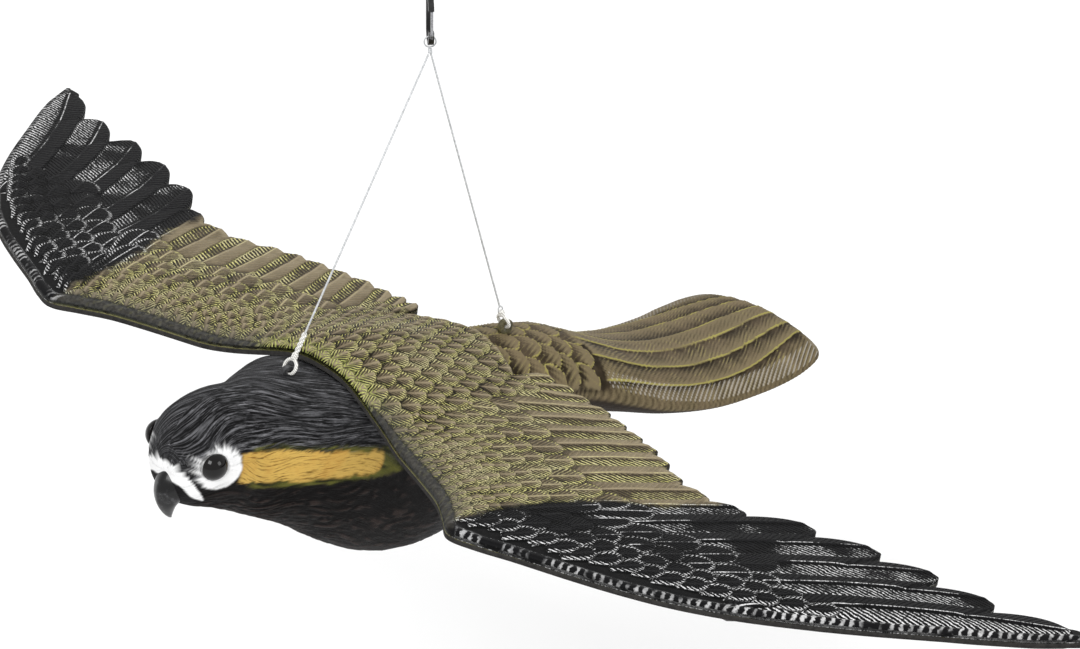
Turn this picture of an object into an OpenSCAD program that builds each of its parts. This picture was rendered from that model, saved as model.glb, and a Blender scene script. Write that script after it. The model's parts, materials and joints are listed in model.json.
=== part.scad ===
// Hanging bird-of-prey decoy: hollow moulded body and wings, two hanging lines and a spring clip.
// The bird faces -Y, its left wing points to +X and +Z is up.
// The origin is the centre of the clip's upper bow, which hangs on a hook or a branch.

/* [Wings] */
// Share of the full wing span; 1 is a span of 588 mm
span_scale = 1; // [0.9:0.05:1.1]
// Height of the upper edge lip above the parting line
upper_lip = 1.4; // [1:0.1:2]
// Depth of the lower edge lip below the parting line
lower_lip = 1.8; // [1:0.1:2.5]
// Wall of both wing shells
wing_wall = 1.5; // [1.2:0.1:2]
// How far the back saddle rises above the plane of the wings
saddle_rise = 13; // [11:0.5:15]

/* [Body] */
// Wall of the hollow body
body_wall = 1.8; // [1.4:0.1:2.4]
// Radius of the domed eyes
eye_r = 5.8; // [4.5:0.1:6.5]
// Nose-up angle at which the bird hangs
pitch = 9.7; // [0:0.1:20]

/* [Hanging] */
// Diameter of each hanging line
line_d = 0.8; // [0.6:0.1:1.2]
// Diameter of the white ties through the lugs
tie_d = 1.4; // [1:0.1:1.6]
// Radius of the holes in the lugs
lug_hole_r = 1.7; // [1.6:0.1:2]
// Overall height of the spring clip
clip_h = 21; // [18:0.5:30]
// Thickness of the clip's frame
clip_t = 2.2; // [2:0.1:3.2]
// Direction of the clip's gate, seen from above, from +X
clip_turn = -37; // [-180:1:180]

/* [Hidden] */

// Colours
olive = [0.42, 0.39, 0.27];
near_black = [0.12, 0.12, 0.12];
white_cord = [0.93, 0.93, 0.9];
clear_line = [0.85, 0.87, 0.88];
clip_black = [0.05, 0.05, 0.05];
steel = [0.6, 0.6, 0.62];

// Where the bird hangs: hole centres of the two lugs, and the point where the lines meet
front_eye = [0, -74, -131];
rear_eye_in_bird = [0, 117, -4.5];
apex = [0, 0, -18.6];

// Clip
bow_out_r = 5.4;
bow_w = 1.8;
bow_in_r = bow_out_r - bow_w;
low_bow_z = 2 * bow_out_r - clip_h;
bar_z = low_bow_z - bow_out_r + bow_w / 2;
gate_top_z = 0.4;
gate_pin_z = low_bow_z + 0.6;
gate_x = bow_out_r - bow_w / 2;
gate_t = 0.9;
gate_w = 1.5;
pin_r = 0.5;
knot_r = 1.1;
loop_r = 2.3;
loop_wire_r = 0.3;

// Body sections: distance from the front lug, top, widest height, underside, half width
body_rows = [
    [-56.8, -21.5, -28, -33, 5],
    [-55.8, -15, -27, -36.5, 10.5],
    [-53, -8.5, -24, -40.5, 14.6],
    [-48, -3.4, -22.5, -43, 17.7],
    [-36, 0.4, -23, -47, 19.8],
    [-22, 0.4, -25, -52.5, 21],
    [-8, 0.6, -20, -58.5, 26.5],
    [6, 0.2, -16, -65, 31.5],
    [16, -1.6, -15, -71, 34],
    [24, -4.8, -16, -75.5, 34.5],
    [40, -6.5, -23, -83, 34],
    [60, -6.5, -32, -88, 32],
    [85, -7, -33, -86, 29.5],
    [105, -7.5, -30, -70, 27],
    [125, -9, -27, -53, 26],
    [145, -13, -28.5, -45, 26],
    [165, -21, -34.5, -47, 31],
    [185, -28.6, -40.6, -49.8, 35],
    [210, -33.9, -43.9, -50.6, 38],
    [236, -34.3, -43.3, -49, 38.5],
    [254, -32.2, -40.7, -45.9, 38.8],
    [267, -30.8, -38.3, -42.9, 36.8],
    [275, -31, -37.2, -40.7, 33],
    [280, -32.8, -37.5, -40, 26],
    [282.4, -35, -37.9, -39.4, 15]
];
// Beak sections: centre y, centre z, forward tilt, half width, half depth
beak_rows = [
    [-45.5, -33.5, 15, 8.8, 8.4],
    [-51.5, -34.7, 32, 8, 8],
    [-54.3, -37.9, 60, 6.2, 6],
    [-54.6, -41.7, 88, 4.2, 4],
    [-53.3, -45.2, 108, 2.2, 2.3],
    [-52.1, -47.7, 118, 0.8, 0.9],
    [-51.5, -48.5, 120, 0.3, 0.3]
];
// Leading edge of one wing, from the centre line to the tip
lead_rows = [
    [0, 16], [15, 16.5], [30, 14.5], [45, 11.5], [60, 6], [80, -1.5], [95, -8], [106, -15.5],
    [115, -21.5], [125, -19.3], [140, -12.6], [160, -4.5], [180, 4.6], [200, 16.6], [220, 33.6],
    [242, 57.6], [264, 85.6], [283, 111], [292, 127], [294, 131]
];
// Trailing edge: the rear of the saddle, then a tip and a notch for each flight feather
trail_rows = [
    [0, 102], [15, 99], [28, 94], [33, 91], [36, 103], [39.5, 106], [43, 102], [48.9, 108],
    [51.5, 103.5], [58.4, 107.5], [61.5, 103.5], [70.5, 107], [73.5, 102.5], [81.7, 104.5],
    [84.8, 100], [93.1, 102], [96, 97.5], [103.8, 99.5], [106.5, 95], [113.8, 95.5], [117.5, 90],
    [126, 90], [130, 84.5], [140, 88], [146, 84], [157.7, 91.3], [162, 87], [181.6, 105], [186, 96.5],
    [207.9, 113.2], [211, 102], [232.3, 118.4], [235, 105], [257.5, 120.8], [261, 110], [284, 130],
    [289, 133.8], [294, 134]
];
// Height of the upper and the lower camber at each place along the wing
camber_rows = [
    [0, 3, 1.4], [30, 3.4, 2], [60, 4.6, 3.2], [110, 4.6, 3.2], [180, 3.4, 2.4], [250, 2, 1.2],
    [294, 0.6, 0.4]
];
wing_plane_z = -12;
half_span = 294;
tip_droop = 2.3;
saddle_half_w = 60;
chord_steps = [0, 0.02, 0.07, 0.16, 0.3, 0.5, 0.7, 0.87, 1];

// Places and sizes of the hidden push pegs that hold the wings on the back
peg_ys = [38, 84];
peg_gaps = [0.6, 0.15];
peg_r = 2.5;
peg_head_r = 3.6;

eye_x = 16.6;
eye_y = -47.8;
eye_z = -21.1;
eye_splay = 12;
eye_seat = 0.9;
stem_r = 2;
stem_l = 9;
lug_t = 2.2;
lug_r = 3.3;

// Smooth curve through the rows of a table: value in column c at x
function row_at(t, x, i = 0) = (i >= len(t) - 2 || x < t[i + 1][0]) ? i : row_at(t, x, i + 1);
function slope_at(t, c, i) =
    let (a = max(i - 1, 0), b = min(i + 1, len(t) - 1))
    (t[b][c] - t[a][c]) / (t[b][0] - t[a][0]);
function smooth_at(t, c, x) =
    let (
        i = row_at(t, x),
        w = t[i + 1][0] - t[i][0],
        u = (x - t[i][0]) / w,
        v = 1 - u
    )
    t[i][c] * (1 + 2 * u) * v * v + slope_at(t, c, i) * w * u * v * v
    + t[i + 1][c] * u * u * (3 - 2 * u) - slope_at(t, c, i + 1) * w * u * u * v;
function ease(u) = let (c = min(max(u, 0), 1)) c * c * (3 - 2 * c);

// Solid skin round a list of rings that all have the same number of points
module loft(rings) {
    n = len(rings[0]);
    last = len(rings) - 1;
    sides = [
        for (i = [0:last - 1], j = [0:n - 1])
        let (a = i * n + j, b = i * n + (j + 1) % n)
        each [[a, b, b + n], [a, b + n, a + n]]
    ];
    polyhedron(
        points = [for (r = rings) each r],
        faces = concat([[for (j = [n - 1:-1:0]) j]], sides, [[for (j = [0:n - 1]) last * n + j]]),
        convexity = 8
    );
}

// Slab between two grids of points with the same rows and columns, the upper one first
module slab(top, under) {
    ni = len(top);
    nj = len(top[0]);
    o = ni * nj;
    // the outline's grid places in order, round the slab
    rim = concat(
        [for (i = [0:ni - 1]) i * nj],
        [for (j = [1:nj - 1]) (ni - 1) * nj + j],
        [for (i = [ni - 2:-1:0]) i * nj + nj - 1],
        [for (j = [nj - 2:-1:1]) j]
    );
    m = len(rim);
    skin = [
        for (i = [0:ni - 2], j = [0:nj - 2])
        let (a = i * nj + j, b = a + nj)
        each [
            [a, a + 1, b + 1], [a, b + 1, b],
            [o + a, o + b + 1, o + a + 1], [o + a, o + b, o + b + 1]
        ]
    ];
    wall = [
        for (k = [0:m - 1])
        let (a = rim[k], b = rim[(k + 1) % m])
        each [[a, b, o + b], [a, o + b, o + a]]
    ];
    polyhedron(
        points = concat([for (r = top) each r], [for (r = under) each r]),
        faces = concat(skin, wall),
        convexity = 8
    );
}

// One ring of the body's outer or inner skin, inset by the wall
function body_ring(y, inset, n) =
    let (
        zt = smooth_at(body_rows, 1, y) - inset,
        zw = smooth_at(body_rows, 2, y),
        zb = smooth_at(body_rows, 3, y) + inset,
        w = smooth_at(body_rows, 4, y) - inset
    )
    [for (k = [0:n - 1])
        let (a = 360 * k / n, s = sin(a))
        [w * cos(a), y, s > 0 ? zw + (zt - zw) * s : zw + (zw - zb) * s]];

function beak_ring(r, n) =
    [for (k = [0:n - 1])
        let (a = 360 * k / n, h = r[4] * sin(a))
        [r[3] * cos(a), r[0] - h * sin(r[2]), r[1] + h * cos(r[2])]];

// The bird's own frame, nose level and origin at the front lug's hole, set as it hangs
module in_bird() {
    translate(front_eye) rotate([-pitch, 0, 0]) children();
}
function hang(p) = front_eye + [
    p[0],
    p[1] * cos(pitch) + p[2] * sin(pitch),
    p[2] * cos(pitch) - p[1] * sin(pitch)
];
rear_eye = hang(rear_eye_in_bird);

// Skin of the body through the sections ys_front, the ones that both skins share, and ys_rear
body_mid_ys = [
    -54, -48, -40, -30, -18, -6, 4, 12, 20, 30, 45, 60, 78, 96, 112, 128, 145, 160, 176, 192,
    210, 230, 250, 264, 272
];
module body_skin(inset, ys_front, ys_rear, n) {
    loft([for (y = concat(ys_front, body_mid_ys, ys_rear)) body_ring(y, inset, n)]);
}

module body_shell() {
    color(near_black) in_bird() difference() {
        union() {
            body_skin(0, [-56.8, -56.4, -55.6, -54.8], [275, 279, 281.4, 282.4], 28);
            loft([for (i = [len(beak_rows) - 1:-1:0]) beak_ring(beak_rows[i], 14)]);
        }
        body_skin(body_wall, [-54.4], [273], 20);
        for (s = [-1, 1]) eye_axis(s) {
            translate([0, 0, -stem_l]) cylinder(r = stem_r, h = 20, $fn = 24);
            // flat seat under the dome
            translate([0, 0, eye_seat - 0.05]) cylinder(r = eye_r, h = 6, $fn = 48);
        }
        lug_slot();
        translate(rear_eye_in_bird) lug_slot();
        for (y = peg_ys) translate([0, y, -14]) cylinder(r = peg_r, h = 14, $fn = 24);
    }
}

// Parting surface of the wings at a place in the bird's frame
function parting_z(x, y) =
    let (bump = abs(x) < saddle_half_w ? (1 + cos(180 * x / saddle_half_w)) / 2 : 0)
    wing_plane_z + bump * (saddle_rise - 6 * ease((y - 45) / 55)) - tip_droop * pow(x / half_span, 2);
function trail_y(x) =
    let (i = row_at(trail_rows, x), a = trail_rows[i], b = trail_rows[i + 1])
    a[1] + (b[1] - a[1]) * (x - a[0]) / (b[0] - a[0]);
// Camber from the leading edge, s = 0, to the trailing edge, s = 1
function camber(s) = sin(180 * pow(s, 0.6));

wing_xs = concat(
    [for (i = [len(trail_rows) - 1:-1:1]) -trail_rows[i][0]],
    [for (r = trail_rows) r[0]]
);
// Grid of one surface: kind 0 is the outer top, 1 its inner face, 2 the inner bottom, 3 the outer bottom
function wing_z(kind, x, y, s) =
    let (
        p = parting_z(x, y),
        top = p + upper_lip + smooth_at(camber_rows, 1, abs(x)) * camber(s),
        low = p - lower_lip - smooth_at(camber_rows, 2, abs(x)) * camber(s)
    )
    kind == 0 ? top : kind == 1 ? max(p, top - wing_wall) : kind == 2 ? min(p, low + wing_wall) : low;
function wing_grid(kind) =
    [for (x = wing_xs)
        let (y0 = smooth_at(lead_rows, 1, abs(x)), y1 = trail_y(abs(x)))
        [for (s = chord_steps)
            let (y = y0 + (y1 - y0) * s)
            [x * span_scale, y, wing_z(kind, x, y, s)]]];

module wing_upper_shell() {
    color(olive) in_bird() slab(wing_grid(0), wing_grid(1));
}

module wing_lower_shell() {
    color(near_black) in_bird() difference() {
        slab(wing_grid(2), wing_grid(3));
        for (y = peg_ys) translate([0, y, -14]) cylinder(r = peg_r, h = 20, $fn = 24);
    }
}

// Push pegs: a head inside the wings, a collar between wing and back, and a stem into the body
module wing_pegs() {
    color(near_black) in_bird() for (i = [0, 1]) {
        y = peg_ys[i];
        gap = peg_gaps[i];
        low = wing_z(3, 0, y, (y - 16) / 86);
        top = wing_z(2, 0, y, (y - 16) / 86);
        back = smooth_at(body_rows, 1, y);
        translate([0, y, top + 0.45]) cylinder(r = peg_head_r, h = 0.7, $fn = 32);
        translate([0, y, back - 6]) cylinder(r = peg_r, h = top - back + 6.6, $fn = 24);
        translate([0, y, back + gap])
            cylinder(r = peg_head_r - 0.4, h = low - back - gap - 0.4, $fn = 32);
    }
}

// Local frame of an eye: z points outward; side is 1 for the bird's left and -1 for its right
module eye_axis(side) {
    translate([side * eye_x, eye_y, eye_z]) rotate([0, 0, side > 0 ? -eye_splay : 180 + eye_splay])
        rotate([0, 90, 0]) children();
}
module eye(side) {
    color(clip_black) in_bird() eye_axis(side) {
        intersection() {
            translate([0, 0, -1.4]) sphere(r = eye_r, $fn = 48);
            translate([0, 0, eye_seat]) cylinder(r = eye_r + 1, h = 6, $fn = 48);
        }
        translate([0, 0, -stem_l]) cylinder(r = stem_r, h = stem_l + 1.5, $fn = 24);
    }
}
module eye_left() {
    eye(1);
}
module eye_right() {
    eye(-1);
}
module eye_washer(side) {
    color(steel) in_bird() eye_axis(side) translate([0, 0, -6]) difference() {
        cylinder(r = 5, h = 0.8, $fn = 32);
        translate([0, 0, -1]) cylinder(r = stem_r, h = 3, $fn = 24);
    }
}
module eye_washer_left() {
    eye_washer(1);
}
module eye_washer_right() {
    eye_washer(-1);
}

// Upstanding lug with a cross hole; its foot passes through the body wall to an anchor bar
module lug() {
    difference() {
        union() {
            rotate([0, 90, 0]) cylinder(r = lug_r, h = lug_t, center = true, $fn = 48);
            translate([0, 0, -5]) cube([lug_t, 5, 10], center = true);
            translate([0, 0, -10.5]) cube([8, 7, 2], center = true);
        }
        rotate([0, 90, 0]) cylinder(r = lug_hole_r, h = lug_t + 2, center = true, $fn = 48);
    }
}
// Room for a lug's foot and ring in the body, with a shallow groove across it for the tie
module lug_slot() {
    translate([0, 0, -6]) cube([lug_t, 5, 12], center = true);
    cube([lug_t, 2 * lug_r + 0.4, 2 * lug_r + 0.4], center = true);
    translate([0, 0, 0.6]) rotate([0, 90, 0]) cylinder(r = 1.5, h = 7, center = true, $fn = 32);
}
module front_lug() {
    color(near_black) in_bird() lug();
}
module rear_lug() {
    color(olive) in_bird() translate(rear_eye_in_bird) lug();
}

// A straight run between two points, as a frame whose z runs from a to b
module along(a, b) {
    d = b - a;
    translate(a) rotate([0, acos(d[2] / norm(d)), atan2(d[1], d[0])]) children();
}

// White tie: a ring through a lug's hole and a doubled cord up the line
tie_ring_r = 3;
front_tie_l = 17;
rear_tie_l = 8;
module tie(eye, length) {
    up = (apex - eye) / norm(apex - eye);
    translate(eye + up * tie_ring_r) rotate([atan2(up[2], up[1]) - 90, 0, 0])
        rotate([90, 0, 0]) rotate_extrude($fn = 48) translate([tie_ring_r, 0]) circle(r = tie_d / 2, $fn = 20);
    along(eye + up * (2 * tie_ring_r - 0.2), eye + up * length)
        cylinder(r = tie_d / 2 + 0.1, h = length - 2 * tie_ring_r + 0.2, $fn = 20);
}
module front_tie() {
    color(white_cord) tie(front_eye, front_tie_l);
}
module rear_tie() {
    color(white_cord) tie(rear_eye, rear_tie_l);
}
// Small clear ring knotted into the rear line above its tie
module rear_ring() {
    up = (apex - rear_eye) / norm(apex - rear_eye);
    color(clear_line) translate(rear_eye + up * (rear_tie_l + 1.2)) rotate([0, 90, 0])
        rotate_extrude($fn = 32) translate([1.3, 0]) circle(r = 0.35, $fn = 16);
}

// Routes of the two taut lines, from the point where they meet down to their ties
front_line_route = [
    [0, -0.8, -19.8], [0, -8, -30.8], [0, -16, -42.9], [0, -24, -55.1], [0, -32, -67.2],
    [0, -40, -79.4], [0, -48, -91.5], [0, -56, -103.7], [0, -64.6, -116.8]
];
rear_line_route = [
    [0, 0.5, -20], [0, 5, -35.4], [0, 10, -52.3], [0, 15, -69.1], [0, 20, -85.9],
    [0, 25, -102.7], [0, 30, -119.6], [0, 34, -133], [0, 37.6, -145.1]
];
function tube_ring(p, d, n) =
    let (u = d / norm(d), side = [1, 0, 0], over = cross(u, side))
    [for (k = [0:n - 1]) p + line_d / 2 * (side * cos(360 * k / n) + over * sin(360 * k / n))];
module tube(route) {
    last = len(route) - 1;
    loft([for (i = [0:last]) tube_ring(route[i], route[min(i + 1, last)] - route[max(i - 1, 0)], 8)]);
}
module line_front() {
    color(clear_line) tube(front_line_route);
}
module line_rear() {
    color(clear_line) tube(rear_line_route);
}

module top_knot() {
    color(clear_line) translate(apex) sphere(r = knot_r, $fn = 32);
}
module top_loop() {
    color(clear_line) translate([0, 0, bar_z]) rotate([0, 0, clip_turn]) rotate([0, 90, 0])
        rotate_extrude($fn = 48) translate([loop_r, 0]) circle(r = loop_wire_r, $fn = 16);
}

// The clip is drawn flat, x towards its gate and y up, then stood up in its own direction
module clip_flat(t) {
    rotate([0, 0, clip_turn]) rotate([90, 0, 0]) linear_extrude(t, center = true) children();
}
module stadium(r) {
    circle(r = r, $fn = 64);
    translate([-r, low_bow_z]) square([2 * r, -low_bow_z]);
    translate([0, low_bow_z]) circle(r = r, $fn = 64);
}
module clip_body() {
    color(clip_black) difference() {
        clip_flat(clip_t) difference() {
            stadium(bow_out_r);
            stadium(bow_in_r);
            translate([bow_in_r - 1, gate_pin_z + 1.2]) square([4, gate_top_z - gate_pin_z - 1.2]);
        }
        // slot that takes the gate's foot and its spring
        clip_flat(1.6) translate([bow_in_r - 1, gate_pin_z - 1.7]) square([4, 3.2]);
        clip_pin_axis() cylinder(r = pin_r, h = 10, center = true, $fn = 24);
    }
}
module clip_pin_axis() {
    rotate([0, 0, clip_turn]) translate([gate_x, 0, gate_pin_z]) rotate([90, 0, 0]) children();
}
module clip_gate() {
    color(steel) difference() {
        rotate([0, 0, clip_turn]) translate([0, 0.28, 0]) rotate([90, 0, 0])
            linear_extrude(gate_t, center = true) {
                translate([gate_x, gate_pin_z]) circle(r = 1.1, $fn = 32);
                translate([gate_x - gate_w / 2, gate_pin_z])
                    square([gate_w, gate_top_z - 0.3 - gate_pin_z]);
            }
        clip_pin_axis() cylinder(r = pin_r + 0.05, h = 10, center = true, $fn = 24);
    }
}
module clip_gate_pin() {
    color(steel) clip_pin_axis() cylinder(r = pin_r, h = clip_t, center = true, $fn = 24);
}
// Flat-wound torsion spring beside the gate's foot, with one leg against the frame
spring_t = 0.35;
module clip_gate_spring() {
    color(steel) clip_pin_axis() translate([0, 0, 0.25]) difference() {
        union() {
            cylinder(r = pin_r + 0.45, h = spring_t, $fn = 32);
            translate([-0.25, -1.7, 0]) cube([0.5, 1.2, spring_t]);
        }
        translate([0, 0, -1]) cylinder(r = pin_r + 0.04, h = 3, $fn = 24);
    }
}

body_shell();
wing_upper_shell();
wing_lower_shell();
wing_pegs();
eye_left();
eye_right();
eye_washer_left();
eye_washer_right();
front_lug();
rear_lug();
front_tie();
rear_tie();
rear_ring();
line_front();
line_rear();
top_knot();
top_loop();
clip_body();
clip_gate();
clip_gate_pin();
clip_gate_spring();
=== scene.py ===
import json
import math
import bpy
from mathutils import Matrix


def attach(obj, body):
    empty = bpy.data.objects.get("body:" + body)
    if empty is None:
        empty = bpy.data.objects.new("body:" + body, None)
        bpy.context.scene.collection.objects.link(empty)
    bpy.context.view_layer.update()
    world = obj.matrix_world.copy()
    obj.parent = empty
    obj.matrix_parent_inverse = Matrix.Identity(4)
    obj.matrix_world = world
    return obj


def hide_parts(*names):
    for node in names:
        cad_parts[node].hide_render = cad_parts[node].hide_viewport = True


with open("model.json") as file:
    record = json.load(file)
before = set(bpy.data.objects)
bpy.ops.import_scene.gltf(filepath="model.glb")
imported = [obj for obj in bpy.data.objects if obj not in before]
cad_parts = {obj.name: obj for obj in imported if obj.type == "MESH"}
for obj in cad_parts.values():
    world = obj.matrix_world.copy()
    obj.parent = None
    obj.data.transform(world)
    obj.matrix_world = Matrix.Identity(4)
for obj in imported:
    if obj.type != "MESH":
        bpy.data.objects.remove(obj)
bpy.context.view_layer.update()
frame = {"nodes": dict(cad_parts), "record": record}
from types import SimpleNamespace
import bpy
import numpy as np

# A hanging bird-of-prey decoy. Metres in the row frame: +Z up, the bird faces -Y, its left wing is +X.
# The bird's own frame is in millimetres, level, with its origin at the front lug's hole.
MM = 0.001
PITCH = math.radians(9.7)
JOINTS = {j["name"]: j for j in frame["record"]["behaviour"]["joints"]}
FRONT_EYE = np.array(JOINTS["bank"]["pos_m"])
APEX = np.array(JOINTS["turn"]["pos_m"])
REAR_EYE_MM = (0, 117, -4.5)


def hang(points_mm):
    """Points of the bird's frame, in millimetres, as row-frame points in metres, pitched as it hangs."""
    p = np.asarray(points_mm, float) * MM
    c, s = math.cos(PITCH), math.sin(PITCH)
    out = np.empty_like(p)
    out[..., 0] = p[..., 0]
    out[..., 1] = p[..., 1] * c + p[..., 2] * s
    out[..., 2] = p[..., 2] * c - p[..., 1] * s
    return out + FRONT_EYE


# ---------------------------------------------------------------- camera
CAMERA_LENS = 159.0
CAMERA_PLACE = (1.1874, -1.0930, 0.7981)
CAMERA_TURN = (59.882, -0.670, 46.232)


def make_camera():
    cam = bpy.data.cameras.new("camera")
    cam.lens = CAMERA_LENS
    cam.sensor_width = 36.0
    ob = bpy.data.objects.new("camera", cam)
    ob.location = CAMERA_PLACE
    ob.rotation_euler = [math.radians(a) for a in CAMERA_TURN]
    bpy.context.collection.objects.link(ob)
    bpy.context.scene.camera = ob


make_camera()


# ---------------------------------------------------------------- small helpers
def new_object(name, mesh, body):
    ob = bpy.data.objects.new(name, mesh)
    bpy.context.collection.objects.link(ob)
    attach(ob, body)
    return ob


def mesh_from(name, verts, faces, smooth=True):
    """A mesh from points and a list of arrays of faces, each array with faces of one size."""
    me = bpy.data.meshes.new(name)
    verts = np.asarray(verts, dtype=np.float32)
    groups = [np.asarray(f, dtype=np.int32) for f in faces]
    sizes = np.concatenate([np.full(len(g), g.shape[1], np.int32) for g in groups])
    loops = np.concatenate([g.ravel() for g in groups])
    me.vertices.add(len(verts))
    me.vertices.foreach_set("co", verts.ravel())
    me.loops.add(len(loops))
    me.loops.foreach_set("vertex_index", loops)
    me.polygons.add(len(sizes))
    me.polygons.foreach_set("loop_start", np.concatenate([[0], np.cumsum(sizes)[:-1]]).astype(np.int32))
    me.polygons.foreach_set("use_smooth", np.full(len(sizes), smooth))
    me.update(calc_edges=True)
    me.validate()
    return me


def set_attribute(me, name, values):
    """A number or a vector for each point, which the materials read by its name."""
    values = np.asarray(values, dtype=np.float32)
    if values.ndim == 1:
        at = me.attributes.new(name, "FLOAT", "POINT")
        at.data.foreach_set("value", values)
    else:
        at = me.attributes.new(name, "FLOAT_VECTOR", "POINT")
        at.data.foreach_set("vector", values.ravel())


def smooth_at(rows, col, x):
    """Smooth curve through the rows of a table: the value in column col at x."""
    t = np.asarray(rows, float)
    x = np.asarray(x, float)
    n = len(t)
    i = np.clip(np.searchsorted(t[:, 0], x, "right") - 1, 0, n - 2)
    a = np.maximum(np.arange(n) - 1, 0)
    b = np.minimum(np.arange(n) + 1, n - 1)
    m = (t[b, col] - t[a, col]) / (t[b, 0] - t[a, 0])
    w = t[i + 1, 0] - t[i, 0]
    u = (x - t[i, 0]) / w
    v = 1 - u
    return (
        t[i, col] * (1 + 2 * u) * v * v
        + m[i] * w * u * v * v
        + t[i + 1, col] * u * u * (3 - 2 * u)
        - m[i + 1] * w * u * u * v
    )


def ease(u):
    u = np.clip(u, 0, 1)
    return u * u * (3 - 2 * u)


def blur(a, r, passes=2):
    """Box blur along both axes of a grid, repeated to come close to a Gaussian."""
    for _ in range(passes):
        for ax in (0, 1):
            pad = [(0, 0), (0, 0)]
            pad[ax] = (r + 1, r)
            c = np.cumsum(np.pad(a, pad, mode="edge"), axis=ax)
            n = a.shape[ax]
            hi = np.take(c, np.arange(2 * r + 1, 2 * r + 1 + n), axis=ax)
            lo = np.take(c, np.arange(0, n), axis=ax)
            a = (hi - lo) / (2 * r + 1)
    return a


def lattice_noise(u, v, seed):
    """Smooth noise from 0 to 1 over any arrays u and v, one lump per unit."""
    size = 256
    table = np.random.default_rng(seed).random((size, size))
    iu, iv = np.floor(u).astype(int), np.floor(v).astype(int)
    fu, fv = ease(u - iu), ease(v - iv)
    iu, iv = iu % size, iv % size
    ju, jv = (iu + 1) % size, (iv + 1) % size
    return (table[iu, iv] * (1 - fu) + table[ju, iv] * fu) * (1 - fv) + (
        table[iu, jv] * (1 - fu) + table[ju, jv] * fu
    ) * fv


# ---------------------------------------------------------------- material helpers
class Nodes:
    """A short way to write a node tree: each call makes a node, sets it and links it."""

    def __init__(self, name, roughness=0.5, **sockets):
        self.mat = bpy.data.materials.new(name)
        self.mat.use_nodes = True
        self.tree = self.mat.node_tree
        self.bsdf = self.tree.nodes["Principled BSDF"]
        self.bsdf.inputs["Roughness"].default_value = roughness
        for k, val in sockets.items():
            self.bsdf.inputs[k.replace("_", " ")].default_value = val

    def put(self, socket, value):
        if isinstance(value, bpy.types.NodeSocket):
            self.tree.links.new(value, socket)
        else:
            socket.default_value = value

    def node(self, kind, out=0, props=None, **inputs):
        n = self.tree.nodes.new(kind)
        for k, val in (props or {}).items():
            setattr(n, k, val)
        for k, val in inputs.items():
            self.put(n.inputs[k.replace("_", " ")], val)
        return n.outputs[out]

    def attribute(self, name, out="Fac"):
        return self.node("ShaderNodeAttribute", out, {"attribute_name": name})

    def math(self, op, a, b=0.0):
        n = self.tree.nodes.new("ShaderNodeMath")
        n.operation = op
        n.use_clamp = False
        self.put(n.inputs[0], a)
        self.put(n.inputs[1], b)
        return n.outputs[0]

    def add(self, a, b):
        return self.math("ADD", a, b)

    def sub(self, a, b):
        return self.math("SUBTRACT", a, b)

    def inv(self, a):
        return self.math("SUBTRACT", 1.0, a)

    def mul(self, a, b):
        return self.math("MULTIPLY", a, b)

    def top(self, a, b):
        return self.math("MAXIMUM", a, b)

    def ramp(self, value, low, high):
        """0 below low, 1 above high, smooth between."""
        n = self.tree.nodes.new("ShaderNodeMapRange")
        n.interpolation_type = "SMOOTHSTEP"
        self.put(n.inputs["Value"], value)
        n.inputs["From Min"].default_value = low
        n.inputs["From Max"].default_value = high
        return n.outputs["Result"]

    def noise(self, scale, detail=4.0, rough=0.6, vector=None):
        n = self.tree.nodes.new("ShaderNodeTexNoise")
        n.inputs["Scale"].default_value = scale
        n.inputs["Detail"].default_value = detail
        n.inputs["Roughness"].default_value = rough
        self.put(n.inputs["Vector"], vector if vector is not None else self.coords())
        return n.outputs[0]

    def coords(self):
        return self.node("ShaderNodeTexCoord", "Object")

    def mix(self, fac, a, b):
        n = self.tree.nodes.new("ShaderNodeMix")
        n.data_type = "RGBA"
        self.put(n.inputs["Factor"], fac)
        self.put(n.inputs[6], a)
        self.put(n.inputs[7], b)
        return n.outputs[2]

    def bump(self, height, strength, distance):
        n = self.tree.nodes.new("ShaderNodeBump")
        n.inputs["Strength"].default_value = strength
        n.inputs["Distance"].default_value = distance
        self.put(n.inputs["Height"], height)
        self.tree.links.new(n.outputs[0], self.bsdf.inputs["Normal"])

    def colour(self, value):
        self.put(self.bsdf.inputs["Base Color"], value)

    def rough(self, value):
        self.put(self.bsdf.inputs["Roughness"], value)


def rgb(r, g, b):
    """An sRGB colour in 0 to 255 as a linear colour."""
    return (*[((c / 255 + 0.055) / 1.055) ** 2.4 if c > 10 else c / 255 / 12.92 for c in (r, g, b)], 1.0)


# ---------------------------------------------------------------- hanging lines
CORD_RESOLUTION = 6
LINE_D = 0.0008
TIE_D, TIE_LOOP_R, TIE_LAY = 0.0014, 0.003, 0.006
FRONT_TIE, REAR_TIE = 0.017, 0.008
FRONT_ROUTE = [
    (0, -0.8, -19.8), (0, -8, -30.8), (0, -16, -42.9), (0, -24, -55.1), (0, -32, -67.2),
    (0, -40, -79.4), (0, -48, -91.5), (0, -56, -103.7), (0, -64.6, -116.8),
]
REAR_ROUTE = [
    (0, 0.5, -20), (0, 5, -35.4), (0, 10, -52.3), (0, 15, -69.1), (0, 20, -85.9),
    (0, 25, -102.7), (0, 30, -119.6), (0, 34, -133), (0, 37.6, -145.1),
]


def curve_object(name, points_m, diameter, body, mat, closed=False):
    cu = bpy.data.curves.new(name, "CURVE")
    cu.dimensions = "3D"
    cu.bevel_depth = diameter / 2
    cu.bevel_resolution = CORD_RESOLUTION
    cu.use_fill_caps = True
    sp = cu.splines.new("POLY")
    sp.points.add(len(points_m) - 1)
    for q, p in zip(sp.points, points_m, strict=True):
        q.co = (*p, 1)
    sp.use_cyclic_u = closed
    ob = bpy.data.objects.new(name, cu)
    cu.materials.append(mat)
    bpy.context.collection.objects.link(ob)
    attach(ob, body)
    return ob


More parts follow.
